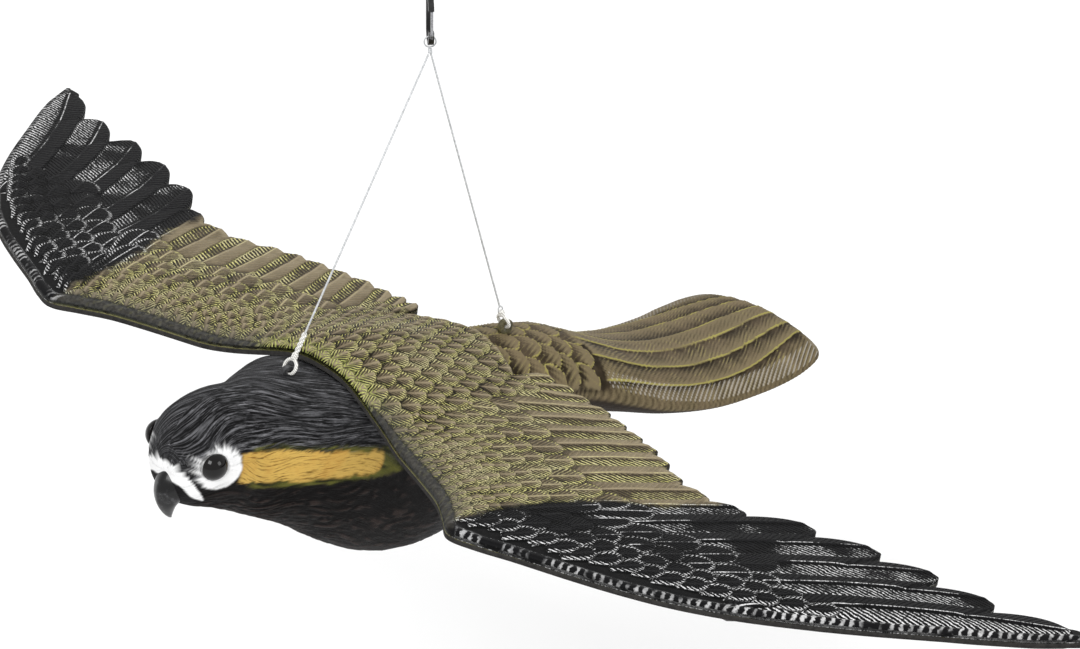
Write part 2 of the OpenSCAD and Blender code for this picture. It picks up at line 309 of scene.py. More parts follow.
def line_material():
    m = Nodes("clear_line", 0.25)
    streak = m.noise(900, 3)
    m.colour(m.mix(m.ramp(streak, 0.3, 0.7), rgb(176, 178, 180), rgb(214, 216, 218)))
    m.bump(streak, 0.1, 0.0001)
    return m.mat


def cord_material():
    m = Nodes("white_cord", 0.75)
    strands = m.node(
        "ShaderNodeTexWave", 1, {"wave_type": "BANDS", "bands_direction": "DIAGONAL"},
        Vector=m.coords(), Scale=520.0, Distortion=1.5, Detail=2.0,
    )
    m.colour(m.mix(m.ramp(strands, 0.1, 0.6), rgb(196, 194, 188), rgb(250, 249, 245)))
    m.bump(strands, 0.5, 0.0003)
    return m.mat


LINE_MAT = line_material()
CORD_MAT = cord_material()


def ring_points(centre, a, b, radius_a, radius_b, n=48):
    """A closed oval about centre in the plane of the unit vectors a and b."""
    t = np.linspace(0, 2 * np.pi, n, endpoint=False)
    return centre + np.outer(np.cos(t) * radius_a, a) + np.outer(np.sin(t) * radius_b, b)


def helix(a, b, radius, turns, n):
    """A coil round the straight run from a to b."""
    d = b - a
    u = d / np.linalg.norm(d)
    side = np.array([1.0, 0, 0])
    over = np.cross(u, side)
    t = np.linspace(0, 1, n)
    ang = 2 * np.pi * turns * t
    return a + np.outer(t, d) + radius * (np.outer(np.cos(ang), side) + np.outer(np.sin(ang), over))


def lug_tie(name, eye, length, diameter):
    """The white cord that passes through a lug and doubles back up the line, with its knot."""

    def cord_piece(part, points, thickness, closed=False):
        return curve_object(f"{name}_{part}", points, thickness, "lines", CORD_MAT, closed)

    up = (APEX - eye) / np.linalg.norm(APEX - eye)
    side = np.array([1.0, 0, 0])
    over = np.cross(up, side)
    r = TIE_LOOP_R
    centre = eye + up * r
    ring = cord_piece("loop", ring_points(centre, side, up, r, r), diameter, True)
    top = eye + up * length
    foot = eye + up * (2 * r - 0.0003)
    strands = []
    for k, phase in enumerate((0, np.pi)):
        s = np.linspace(0, 1, 80)
        ang = phase + 2 * np.pi * (length / TIE_LAY) * s
        twist = np.outer(np.cos(ang), side) + np.outer(np.sin(ang), over)
        pts = foot + np.outer(s, top - foot) + diameter * 0.36 * twist
        strands.append(cord_piece(f"strand_{k}", pts, diameter * 0.8))
    wraps = helix(foot + up * 0.0002, foot + up * 0.0026, diameter * 0.62, 3, 90)
    return [ring, *strands, cord_piece("knot", wraps, diameter * 0.7)]


def hanging_lines():
    rear_eye = hang(REAR_EYE_MM)
    for node, route, eye, length in (
        ("line_front", FRONT_ROUTE, FRONT_EYE, FRONT_TIE),
        ("line_rear", REAR_ROUTE, rear_eye, REAR_TIE),
    ):
        pts = [tuple(c * MM for c in p) for p in route]
        tag = node.split("_")[1]
        line = curve_object("hanging_" + node, pts, LINE_D, "lines", LINE_MAT)
        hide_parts(node)
        pieces = lug_tie(tag + "_lug_tie", eye, length, TIE_D)
        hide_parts(tag + "_tie")
        if tag == "rear":
            up = (APEX - eye) / np.linalg.norm(APEX - eye)
            oval = ring_points(eye + up * 0.0092, np.cross(up, (1, 0, 0)), up, 0.0011, 0.0015)
            ring = curve_object("rear_line_loop", oval, 0.0006, "lines", LINE_MAT, True)
            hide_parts("rear_ring")
            pieces.append(ring)


hanging_lines()

# ---------------------------------------------------------------- wings: plan and surface
LEAD_ROWS = [
    (0, 16), (15, 16.5), (30, 14.5), (45, 11.5), (60, 6), (80, -1.5), (95, -8), (106, -15.5),
    (115, -21.5), (125, -19.3), (140, -12.6), (160, -4.5), (180, 4.6), (200, 16.6), (220, 33.6),
    (242, 57.6), (264, 85.6), (283, 111), (292, 127), (294, 131),
]
TRAIL_ROWS = [
    (0, 102), (15, 99), (28, 94), (33, 91), (36, 103), (39.5, 106), (43, 102), (48.9, 108),
    (51.5, 103.5), (58.4, 107.5), (61.5, 103.5), (70.5, 107), (73.5, 102.5), (81.7, 104.5),
    (84.8, 100), (93.1, 102), (96, 97.5), (103.8, 99.5), (106.5, 95), (113.8, 95.5), (117.5, 90),
    (126, 90), (130, 84.5), (140, 88), (146, 84), (157.7, 91.3), (162, 87), (181.6, 105), (186, 96.5),
    (207.9, 113.2), (211, 102), (232.3, 118.4), (235, 105), (257.5, 120.8), (261, 110), (284, 130),
    (289, 133.8), (294, 134),
]
CAMBER_ROWS = [
    (0, 3, 1.4), (30, 3.4, 2), (60, 4.6, 3.2), (110, 4.6, 3.2), (180, 3.4, 2.4), (250, 2, 1.2),
    (294, 0.6, 0.4),
]
UPPER_LIP, LOWER_LIP = 1.4, 1.8
WING_PLANE_Z, SADDLE_RISE, SADDLE_FALL, SADDLE_HALF_W = -12, 13, 6, 60
# the tables run to the CAD's wing tip, and the visible skin stops half a millimetre before it
TIP_X, HALF_SPAN = 294, 293.5
TIP_DROOP = 2.3


def trail_y(x):
    """Trailing edge: each feather bulges from its notch to its tip and curls round to the next notch."""
    t = np.array(TRAIL_ROWS)
    i = np.clip(np.searchsorted(t[:, 0], x, "right") - 1, 0, len(t) - 2)
    u = np.clip((x - t[i, 0]) / (t[i + 1, 0] - t[i, 0]), 0, 1)
    y0, y1 = t[i, 1], t[i + 1, 1]
    rise = np.sin(u * np.pi / 2) ** 0.8
    fall = np.sqrt(1 - u * u)
    round_off = np.where(y1 > y0, y0 + (y1 - y0) * rise, y1 + (y0 - y1) * fall)
    return np.where(i < 3, y0 + (y1 - y0) * u, round_off)


def parting_z(x, y):
    """Height of the seam between the wing's two shells, raised over the back."""
    bump = np.where(np.abs(x) < SADDLE_HALF_W, (1 + np.cos(np.pi * x / SADDLE_HALF_W)) / 2, 0)
    droop = TIP_DROOP * (x / TIP_X) ** 2
    return WING_PLANE_Z + bump * (SADDLE_RISE - SADDLE_FALL * ease((y - 45) / 55)) - droop


def camber(s):
    """The wing's arch along its chord, where s runs from 0 in front to 1 behind: 0 at both edges."""
    return np.sin(np.pi * np.power(s, 0.6))


# Which way the feathers point at each place along the wing: degrees from +Y towards the wing tip
SWEEP_ROWS = [
    (0, 0), (20, 4), (35, 20), (45, 30), (60, 27), (80, 24), (110, 20), (140, 21), (165, 23), (190, 26),
    (215, 29), (240, 33), (265, 37), (294, 40),
]
# Length of each flight feather, from the innermost to the wing tip
FLIGHT_LENGTHS = [62, 62, 60, 58, 58, 56, 54, 52, 54, 64, 76, 90, 100, 106, 110, 128]
SCALE, COVERT, FLIGHT = 0, 1, 2


class Relief:
    """Height and paint coordinates of a wing's upper side on its grid, feathers laid one over another."""

    def __init__(self, x, y):
        self.x, self.y = x, y
        self.h = np.zeros_like(x)
        self.phase = np.zeros_like(x)
        self.tint = np.full_like(x, 0.5)
        self.off = np.zeros_like(x)
        self.edge = np.zeros_like(x)
        self.kind = np.zeros_like(x)

    def feather(self, tip, angle, length, half, lift, kind, shaft=0.0, bow=0.0, tint=0.5, barb=1.7):
        """One feather, laid from its root to its tip along its angle."""
        a = math.radians(angle)
        middle = tip[0] - 0.5 * length * math.sin(a)
        cols = np.where(np.abs(self.x[:, 0] - middle) < 0.6 * (length + half) + 2 * half)[0]
        if len(cols) == 0:
            return
        sl = slice(cols[0], cols[-1] + 1)
        dx, dy = self.x[sl] - tip[0], self.y[sl] - tip[1]
        u = length + dx * math.sin(a) + dy * math.cos(a)
        t = np.clip(u / length, 0, 1.2)
        across = dx * math.cos(a) - dy * math.sin(a) - bow * t * (1 - t) * 4
        # half width: narrow at the root, rounded off at the tip
        end = np.clip((length - u) / (half * (1.15 if kind < FLIGHT else 1.5)), 0, 1)
        w = half * np.sqrt(np.clip(1 - (1 - end) ** 2, 0, 1)) * (0.72 + 0.28 * ease(t * 1.6))
        v = across / np.maximum(w, 0.05)
        inside = (u > 0) & (u < length) & (np.abs(v) < 1)
        edge = np.minimum((1 - np.abs(v)) * w, length - u)
        off = (v - shaft) * w
        stem = np.exp(-((off / 0.45) ** 2)) * (0.34 if kind else 0.1) * ease((length - u) / 5)
        crown = (1 - v * v) * (0.5 if kind == FLIGHT else 0.45)
        rim = np.exp(-(((edge - 0.55) / 0.5) ** 2)) * 0.2
        height = lift * (0.3 + 0.7 * ease(t)) + crown + stem + rim * ease(t * 2.2 - 0.8)
        if kind == FLIGHT:
            height = height - 0.4 * ease(off / 1.2)
        height = height * ease(edge / 0.35 + 0.3)
        slope = 1.0 if kind == FLIGHT else 1.25
        phase = (u - np.abs(off) * slope) / barb + 3 * tint
        for name, value in (
            ("h", height), ("phase", phase), ("tint", tint), ("off", off), ("edge", np.minimum(edge, 4)),
            ("kind", kind),
        ):
            grid = getattr(self, name)
            grid[sl] = np.where(inside, value, grid[sl])


def sweep(x):
    return float(smooth_at(SWEEP_ROWS, 1, x))


def envelope(x):
    """Smooth line through the tips of the flight feathers."""
    xs = [0, 30, 40, 60, 125, 160, 183, 208, 232, 258, 290]
    return np.interp(x, xs, [102, 98, 110, 110, 88, 94, 108, 117, 121, 124, 136])


# Rows of coverts, the rear ones first: share of the chord at their tips, first and last place along
# the wing, spacing, length, kind and barb pitch
HAND_COVERTS = [
    (0.50, 134, 200, 13.0, 50, COVERT, 2.2), (0.35, 122, 214, 11.0, 32, COVERT, 2.1),
    (0.24, 118, 224, 8.6, 20, SCALE, 2.0), (0.16, 116, 240, 7.4, 13, SCALE, 1.9),
]
ARM_COVERTS = [
    (0.64, 32, 146, 11.4, 36, COVERT, 2.4), (0.52, 34, 140, 10.0, 28, COVERT, 2.2),
    (0.43, 38, 126, 9.0, 20, COVERT, 2.1), (0.355, 40, 122, 7.6, 14, SCALE, 1.9),
    (0.29, 42, 121, 7.0, 12, SCALE, 1.8), (0.23, 44, 120, 6.6, 10.5, SCALE, 1.8),
    (0.175, 46, 120, 6.2, 9.5, SCALE, 1.8), (0.125, 48, 118, 5.8, 8.5, SCALE, 1.8),
    (0.08, 50, 116, 5.6, 7.5, SCALE, 1.8),
]


def lay_flight_feathers(r, rng):
    """Each flight feather fills the trailing edge from one notch to the next, the inner ones on top."""
    notches = [p for k, p in enumerate(TRAIL_ROWS) if k in (3, *range(6, len(TRAIL_ROWS), 2))]
    tips = [p for k, p in enumerate(TRAIL_ROWS) if k in range(5, len(TRAIL_ROWS) - 1, 2)]
    for k in range(len(FLIGHT_LENGTHS) - 1, -1, -1):
        tip, length = tips[k], FLIGHT_LENGTHS[k]
        a = math.radians(sweep(tip[0] - 0.15 * length))
        e, p = np.array([math.sin(a), math.cos(a)]), np.array([math.cos(a), -math.sin(a)])
        inner = np.dot(notches[k], p)
        last = k == len(FLIGHT_LENGTHS) - 1
        outer = inner + 22 if last else np.dot(notches[k + 1], p)
        half = max((outer - inner) / 2 + 1.6, 4.6)
        place = (outer - half + 0.3) * p + (np.dot(tip, e) + 1.0) * e
        bow = -1.2 if k < 9 else -0.8 * (k - 7)
        r.feather(place, math.degrees(a), length, half, 0.8, FLIGHT, 0.08, bow, rng.random(), 2.5)


def lay_coverts(r, rng, rows):
    for share, x0, x1, step, length, kind, barb in rows:
        for k in range(int((x1 - x0) / step), -1, -1):
            x = x0 + k * step + rng.uniform(-0.9, 0.9)
            lead = float(smooth_at(LEAD_ROWS, 1, x))
            y = lead + share * (envelope(x) - lead) + rng.uniform(-1.1, 1.1)
            angle = sweep(x) + rng.uniform(-4, 4) + (12 if kind == SCALE else 4)
            half = step * rng.uniform(0.6, 0.7)
            long = length * rng.uniform(0.92, 1.08)
            r.feather((x, y), angle, long, half, 0.7, kind, 0.1, 0, rng.random(), barb)


def lay_back_scales(r, rng):
    for row in range(12, -1, -1):
        y = 20.5 + row * 6.9
        for k in range(6, -1, -1):
            x = k * 8.2 + 4.1 * (row % 2)
            if x > 47 or (row > 11 and x > 28):
                continue
            jx, jy = (0, 0) if x == 0 else (rng.uniform(-0.8, 0.8), rng.uniform(-0.9, 0.9))
            half = rng.uniform(4.6, 5.4)
            r.feather((x + jx, y + jy - 0.05 * x), 0.6 * x, 12, half, 0.75, SCALE, 0, 0, rng.random(), 1.8)


def wing_relief(x, y, lead, trail):
    r = Relief(x, y)
    rng = np.random.default_rng(7)
    lay_flight_feathers(r, rng)
    lay_coverts(r, rng, HAND_COVERTS)
    lay_coverts(r, rng, ARM_COVERTS)
    lay_back_scales(r, rng)
    slope = np.gradient(lead[:, 0], x[:, 0])[:, None]
    from_lead = (y - lead) / np.sqrt(1 + slope * slope)
    # smooth band behind the leading edge, with a groove behind it
    band = np.interp(x, [0, 28, 40, 60, 110, 130, 294], [0.0, 0.0, 1.6, 2.8, 3.2, 2.4, 1.8])
    lip = (1 - ease((from_lead - band) / 1.2)) * ease((x - 26) / 10)
    groove = np.exp(-(((from_lead - band - 0.5) / 0.6) ** 2)) * ease(x / 40)
    r.h = r.h * (1 - lip) + lip * 0.55 - 0.15 * groove
    r.phase = np.where(lip > 0.5, (x * 0.75 + y * 0.35) / 2.7, r.phase)
    r.edge = np.where(lip > 0.5, 2.0, r.edge)
    r.h = r.h * ease(np.minimum(from_lead, trail - y) / 0.8)
    r.lip = lip
    r.from_lead = from_lead
    return r


def black_zone(x, y):
    """Above 0 on the black outer wing, below 0 on the olive inner wing, in the bird's frame."""
    line = np.interp(y, [-25, 0, 25, 45, 62, 92, 140], [113, 116, 123, 132, 143, 152, 158])
    return (x - line) / 6.0


WING_NX = 486
WING_NS = 196


def wing_surface(nx, ns):
    xs = np.linspace(0, HALF_SPAN, nx)
    fr = np.linspace(0, 1, ns)
    fr = fr - 0.12 * np.sin(2 * np.pi * fr) / (2 * np.pi)
    lead = smooth_at(LEAD_ROWS, 1, xs)[:, None] * np.ones(ns)
    trail = trail_y(xs)[:, None] * np.ones(ns)
    x = xs[:, None] * np.ones(ns)
    y = lead + (trail - lead) * fr
    return x, y, lead, trail, fr


def border_walls(ni, nj, top0, low_lead, low_trail):
    """Faces of the rim and floor that close a grid of ni by nj points down to two border rows."""
    quads = []
    i = np.arange(ni - 1)
    a, b = top0 + i * nj, top0 + (i + 1) * nj
    quads.append(np.stack([a, b, low_lead + i + 1, low_lead + i], 1))
    a, b = top0 + i * nj + nj - 1, top0 + (i + 1) * nj + nj - 1
    quads.append(np.stack([b, a, low_trail + i, low_trail + i + 1], 1))
    quads.append(np.stack([low_lead + i, low_lead + i + 1, low_trail + i + 1, low_trail + i], 1))
    ends = []
    for k, flip in ((0, False), (ni - 1, True)):
        row = list(top0 + k * nj + np.arange(nj))
        loop = row + [low_trail + k, low_lead + k]
        ends.append(np.array([loop[::-1] if flip else loop]))
    return quads, ends


def grid_quads(ni, nj, first=0):
    i, j = np.meshgrid(np.arange(ni - 1), np.arange(nj - 1), indexing="ij")
    a = (first + i * nj + j).ravel()
    return np.stack([a, a + 1, a + nj + 1, a + nj], 1)


def wing_top(side, mat):
    x, y, lead, trail, fr = wing_surface(WING_NX, WING_NS)
    r = wing_relief(x, y, lead, trail)
    s = fr * np.ones_like(x)
    p = parting_z(x, y)
    z = p + UPPER_LIP + smooth_at(CAMBER_ROWS, 1, x) * camber(s) + blur(r.h, 1, 1) * 0.95
    top = np.stack([side * x, y, z], -1)
    ni, nj = x.shape
    low_lead = np.stack([side * x[:, 0], y[:, 0], p[:, 0]], -1)
    low_trail = np.stack([side * x[:, -1], y[:, -1], p[:, -1]], -1)
    n = ni * nj
    verts = hang(np.concatenate([top.reshape(-1, 3), low_lead, low_trail]))
    quads, ends = border_walls(ni, nj, 0, n, n + ni)
    faces = [grid_quads(ni, nj), *[q[:, ::-1] for q in quads], *[e[:, ::-1] for e in ends]]
    if side > 0:
        faces = [f[:, ::-1] for f in faces]
    me = mesh_from("wing_top", verts, faces)
    raised = np.clip((r.h - blur(r.h, 5)) / 0.35, -1, 1)
    for name, grid in (
        ("raised", raised), ("zone", black_zone(x, y)), ("tint", r.tint), ("phase", r.phase),
        ("off", r.off), ("edge", r.edge), ("kind", r.kind), ("lip", r.lip), ("lead", r.from_lead),
        ("arm", ease((x - 24) / 16)),
    ):
        set_attribute(me, name, np.concatenate([grid.ravel(), np.zeros(2 * ni)]))
    me.materials.append(mat)
    return new_object("wing_top_" + ("left" if side > 0 else "right"), me, "bird")


def vane_fields(m):
    """The mesh's attributes, and the barbs, rims and shafts that the paint follows."""
    names = ("raised", "zone", "tint", "phase", "off", "edge", "kind", "lead", "lip", "arm")
    f = SimpleNamespace(**{name: m.attribute(name) for name in names})
    f.grain, f.patches, f.scuff = m.noise(700, 3), m.noise(60, 3), m.noise(1300, 2)
    f.flight = m.ramp(f.kind, 1.2, 1.8)
    wobble = m.mul(m.sub(m.noise(420, 2), 0.5), 0.9)
    turn = m.mul(m.add(f.phase, wobble), 2 * math.pi)
    f.ridge = m.add(m.mul(m.math("COSINE", turn), 0.5), 0.5)
    # barbs fade out at the shaft and soften on the flight feathers' inner vane
    inside = m.mul(m.ramp(m.math("ABSOLUTE", f.off), 0.35, 0.9), m.ramp(f.edge, 0.1, 0.6))
    inner = m.mul(f.flight, m.ramp(f.off, 0.3, -0.6))
    strength = m.mul(inside, m.inv(m.mul(inner, 0.45)))
    f.barb = m.mul(f.ridge, strength)
    # painted shade: the mask of the grooves between the barbs, which the paint darkens
    f.gap = m.mul(m.inv(f.ridge), strength)
    f.rim = m.mul(m.ramp(f.edge, 1.3, 0.6), m.ramp(f.edge, 0.05, 0.35))
    f.near_rim = m.ramp(f.edge, 3.2, 0.8)
    f.stem = m.mul(m.ramp(m.math("ABSOLUTE", f.off), 0.5, 0.15), m.ramp(f.kind, 0.5, 0.9))
    f.vane = m.mul(f.flight, m.ramp(f.off, 1.0, 2.5))
    # painted shade: the mask of the hollows below the surrounding relief, where overlapping feathers meet,
    # weaker on the flight feathers
    f.deep = m.mul(m.ramp(f.raised, 0.05, -0.45), m.inv(m.mul(f.flight, 0.45)))
    f.broken = m.add(0.2, m.mul(f.scuff, 1.2))
    return f


def olive_paint(m, f):
    """The inner wing: brown, dark in the grooves as painted shade, lighter on what stands up as a painted
    highlight, and yellow-green brushed over what stands up.
    """
    ground = m.mix(m.ramp(f.patches, 0.35, 0.65), rgb(116, 103, 82), rgb(98, 88, 64))
    ground = m.mix(m.ramp(f.grain, 0.25, 0.75), ground, rgb(130, 117, 93))
    # painted shade: the grooves between the barbs darkened
    ground = m.mix(m.mul(f.gap, 0.85), ground, rgb(48, 41, 29))
    # painted shade: the hollows between overlapping feathers darkened almost to black-brown
    ground = m.mix(m.mul(f.deep, 0.95), ground, rgb(26, 22, 15))
    # painted highlight: what stands up above the surrounding relief lightened
    ground = m.mix(m.mul(m.ramp(f.raised, 0.0, 0.9), 0.45), ground, rgb(172, 159, 130))
    # the brush catches the barbs near a feather's rim most, as short dashes
    dashes = m.mul(m.ramp(f.barb, 0.5, 0.85), m.add(0.45, m.mul(f.near_rim, 0.75)))
    ribs = m.mul(m.mul(m.ramp(f.barb, 0.45, 0.8), f.vane), 0.85)
    outline = m.top(m.mul(f.rim, 0.62), m.mul(f.stem, 0.6))
    line = m.top(m.top(m.mul(dashes, 1.15), ribs), outline)
    dry = m.mul(line, m.add(0.5, m.mul(m.ramp(f.patches, 0.35, 0.62), 0.5)))
    dry = m.mul(dry, m.add(f.broken, m.mul(f.tint, 0.35)))
    green = m.mix(m.ramp(f.patches, 0.3, 0.7), rgb(214, 210, 122), rgb(200, 192, 146))
    return m.mix(m.ramp(dry, 0.34, 0.85), ground, green)


def black_paint(m, f):
    """The outer wing: black with white brushed over its barbs."""
    black = m.mix(m.ramp(f.grain, 0.3, 0.8), rgb(9, 9, 10), rgb(24, 24, 26))
    # painted shade: the hollows between overlapping feathers darkened to near black
    black = m.mix(m.mul(f.deep, 0.8), black, rgb(3, 3, 3))
    spread = m.ramp(m.noise(30, 2), 0.36, 0.6)
    where = m.top(m.ramp(f.lead, 22, 3), m.add(0.3, m.mul(spread, 0.55)))
    # on the flight feathers the brush catches the outer vane's barb ends and the shafts
    near = m.top(m.mul(f.near_rim, 0.75), m.mul(f.vane, 0.55))
    white = m.mul(m.ramp(f.barb, 0.5, 0.85), m.add(0.25, near))
    outline = m.top(m.mul(f.rim, 0.55), m.mul(f.stem, 0.8))
    white = m.mul(m.top(white, outline), m.mul(where, m.add(0.05, m.mul(f.scuff, 1.5))))
    return m.mix(m.ramp(white, 0.36, 0.68), black, rgb(236, 236, 236))


def front_tint(m, f, olive, outer):
    """The olive paint greyed behind the arm's leading edge, and brushed green in front of the back."""
    grey = m.mul(m.mul(m.ramp(f.lead, 14, 1), m.inv(outer)), f.arm)
    olive = m.mix(m.mul(grey, 0.62), olive, rgb(66, 68, 66))
    fringe = m.mul(m.ramp(f.lead, 9, 4), m.inv(f.arm))
    return m.mix(m.mul(fringe, m.mul(m.ramp(f.ridge, 0.3, 0.9), 0.6)), olive, rgb(176, 184, 96))


def lip_paint(m, f, outer):
    """The smooth band along the leading edge: dark grey, streaked with white on the outer wing."""
    plain = m.mix(m.ramp(f.grain, 0.3, 0.8), rgb(38, 38, 38), rgb(72, 72, 70))
    dense = m.mul(m.ramp(m.mul(f.ridge, f.broken), 0.35, 0.75), m.ramp(m.noise(90, 3), 0.4, 0.6))
    streaked = m.mix(m.mul(dense, 0.85), rgb(18, 18, 19), rgb(206, 206, 206))
    return m.mix(outer, plain, streaked)


def plumage_material():
    m = Nodes("wing_plumage", 0.55, Specular_IOR_Level=0.06)
    f = vane_fields(m)
    outer = m.ramp(m.add(f.zone, m.mul(m.sub(m.noise(160, 4), 0.5), 1.6)), -0.5, 0.5)
    olive = front_tint(m, f, olive_paint(m, f), outer)
    colour = m.mix(outer, olive, black_paint(m, f))
    m.colour(m.mix(m.mul(f.lip, 0.85), colour, lip_paint(m, f, outer)))
    m.rough(m.add(0.40, m.mul(f.grain, 0.25)))
    soft_lip = m.inv(m.mul(f.lip, 0.9))
    m.bump(m.add(m.mul(f.barb, soft_lip), m.mul(f.grain, 0.12)), 0.8, 0.0007)
    return m.mat


PLUMAGE = plumage_material()
tops = [wing_top(side, PLUMAGE) for side in (1, -1)]
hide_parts("wing_upper_shell")


# ---------------------------------------------------------------- wings: underside
def underside_material():
    m = Nodes("wing_underside", 0.6, Specular_IOR_Level=0.25)
    grain = m.noise(500, 4)
    m.colour(m.mix(m.ramp(grain, 0.3, 0.7), rgb(30, 29, 28), rgb(50, 48, 46)))
    m.rough(m.add(0.45, m.mul(grain, 0.25)))
    m.bump(grain, 0.2, 0.0004)
    return m.mat


UNDER = underside_material()


def wing_under():
    nx, ns = ((601, 111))
    xs = np.linspace(-HALF_SPAN, HALF_SPAN, nx)
    ax = np.abs(xs)
    fr = np.linspace(0, 1, ns)
    lead = smooth_at(LEAD_ROWS, 1, ax)[:, None] * np.ones(ns)
    trail = trail_y(ax)[:, None] * np.ones(ns)
    x = xs[:, None] * np.ones(ns)
    y = lead + (trail - lead) * fr
    p = parting_z(x, y)
    low = p - LOWER_LIP - smooth_at(CAMBER_ROWS, 2, np.abs(x)) * camber(fr * np.ones_like(x))
    # shallow shafts and barbs on the flight feathers
    half = nx // 2
    r = Relief(np.abs(x)[half:], y[half:])
    lay_flight_feathers(r, np.random.default_rng(7))
    r.h = np.concatenate([r.h[:0:-1], r.h])
    relief = r.h * ease(np.minimum(y - lead, trail - y) / 1.5)
    low = low - 0.6 * relief + 0.3 * ease((y - lead) / 6) * (np.abs(x) > 40)
    grid = np.stack([x, y, low], -1)
    rim_lead = np.stack([x[:, 0], y[:, 0], p[:, 0] - 0.02], -1)
    rim_trail = np.stack([x[:, -1], y[:, -1], p[:, -1] - 0.02], -1)
    n = nx * ns
    verts = hang(np.concatenate([grid.reshape(-1, 3), rim_lead, rim_trail]))
    quads, ends = border_walls(nx, ns, 0, n, n + nx)
    faces = [grid_quads(nx, ns), *[q[:, ::-1] for q in quads], *[e[:, ::-1] for e in ends]]
    me = mesh_from("wing_under", verts, faces)
    me.materials.append(UNDER)
    ob = new_object("wing_underside", me, "bird")
    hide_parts("wing_lower_shell")
    return ob


wing_under()


# ---------------------------------------------------------------- body
BODY_ROWS = [
    (-56.8, -21.5, -28, -33, 5), (-55.8, -15, -27, -36.5, 10.5), (-53, -8.5, -24, -40.5, 14.6),
    (-48, -3.4, -22.5, -43, 17.7), (-36, 0.4, -23, -47, 19.8), (-22, 0.4, -25, -52.5, 21),
    (-8, 0.6, -20, -58.5, 26.5), (6, 0.2, -16, -65, 31.5), (16, -1.6, -15, -71, 34),
    (24, -4.8, -16, -75.5, 34.5), (40, -6.5, -23, -83, 34), (60, -6.5, -32, -88, 32),
    (85, -7, -33, -86, 29.5), (105, -7.5, -30, -70, 27), (125, -9, -27, -53, 26),
    (145, -13, -28.5, -45, 26), (165, -21, -34.5, -47, 31), (185, -28.6, -40.6, -49.8, 35),
    (210, -33.9, -43.9, -50.6, 38), (236, -34.3, -43.3, -49, 38.5), (254, -32.2, -40.7, -45.9, 38.8),
    (267, -30.8, -38.3, -42.9, 36.8), (275, -31, -37.2, -40.7, 33), (280, -32.8, -37.5, -40, 26),
    (282.4, -35, -37.9, -39.4, 15),
]
BEAK_ROWS = [
    (-45.5, -33.5, 15, 8.8, 8.4), (-51.5, -34.7, 32, 8, 8), (-54.3, -37.9, 60, 6.2, 6),
    (-54.6, -41.7, 88, 4.2, 4), (-53.3, -45.2, 108, 2.2, 2.3), (-52.1, -47.7, 118, 0.8, 0.9),
    (-51.5, -48.5, 120, 0.3, 0.3),
]
EYE = (16.6, -47.8, -21.1)
EYE_SPLAY = math.radians(12)
EYE_R = 5.8
HEAD_END_Y, TAIL_FLAT_Y, TAIL_END_Y = -56.8, 275, 282.4


def body_stations():
    """Places of the body's sections: close together on the head and tail, wide under the wings."""
    k = 1.0
    head = np.arange(HEAD_END_Y, 26, 0.55 * k)
    mid = np.arange(26, 92, 2.2 * k)
    tail = np.arange(92, TAIL_FLAT_Y, 1.2 * k)
    return np.concatenate([head, mid, tail, np.arange(TAIL_FLAT_Y, TAIL_END_Y + 0.01, 0.5)])


def band_mask(value, low, high, soft):
    """1 where value lies between low and high, 0 outside, with soft borders."""
    return ease((value - low) / soft + 0.5) * ease((high - value) / soft + 0.5)


def tail_relief(x, y):
    """Height, brushed line and barbs of the layered tail feathers."""
    ax = np.abs(x)
    pull = 1 - 0.75 * np.clip((y - 215) / 90, 0, 1) ** 2
    spread = np.interp(y, [120, 146, 170, 200, 300], [0.7, 0.86, 0.94, 1, 1])
    h = np.zeros_like(x)
    line = np.zeros_like(x)
    for base, step in ((5.5, 0.5), (18, 0.6), (29.5, 0.7)):
        edge = ax - base * pull * spread
        h += step * (1 - ease(edge / 0.5 + 0.5))
        line = np.maximum(line, np.exp(-(((edge + 0.35) / 0.5) ** 2)))
        h += 0.25 * np.exp(-(((edge + 0.5) / 0.6) ** 2))
    barbs = 0.5 + 0.5 * np.cos(2 * np.pi * (y - ax * 1.05 + 1.2 * lattice_noise(x / 9, y / 9, 21)) / 2.0)
    loud = lattice_noise(x / 6, y / 4, 22)
    h += barbs * (0.16 + 0.26 * loud)
    return h, line, barbs * loud


def rump_relief(x, y):
    """Overlapping scales between the wings' rear seam and the tail."""
    h = np.zeros_like(x)
    rim = np.zeros_like(x)
    rng = np.random.default_rng(5)
    for row in range(5, -1, -1):
        y_tip = 108 + row * 9.5
        for k in range(-4, 5):
            cx = (k + 0.5 * (row % 2)) * 10.5 + rng.uniform(-1, 1)
            cy = y_tip - 0.012 * cx * cx + rng.uniform(-1.5, 1.5)
            half, length = 6.6, 17.0
            u = (y - (cy - length)) / length
            end = np.clip((cy - y) / (half * 1.2), 0, 1)
            w = half * np.sqrt(np.clip(1 - (1 - end) ** 2, 0, 1)) + 1e-6
            v = (x - cx) / w
            inside = (u > 0) & (u < 1) & (np.abs(v) < 1)
            edge = np.minimum((1 - np.abs(v)) * w, cy - y)
            e = np.exp(-(((edge - 0.55) / 0.5) ** 2))
            barbs = 0.5 + 0.5 * np.cos(2 * np.pi * ((y - cy) - np.abs(x - cx) * 0.9) / 1.7)
            here = (0.3 + 0.9 * ease(u)) + 0.3 * e + 0.25 * barbs * ease(edge / 0.9)
            h = np.where(inside, here * ease(edge / 0.4 + 0.2), h)
            rim = np.where(inside, np.maximum(e, barbs * 0.6), rim)
    return h, rim


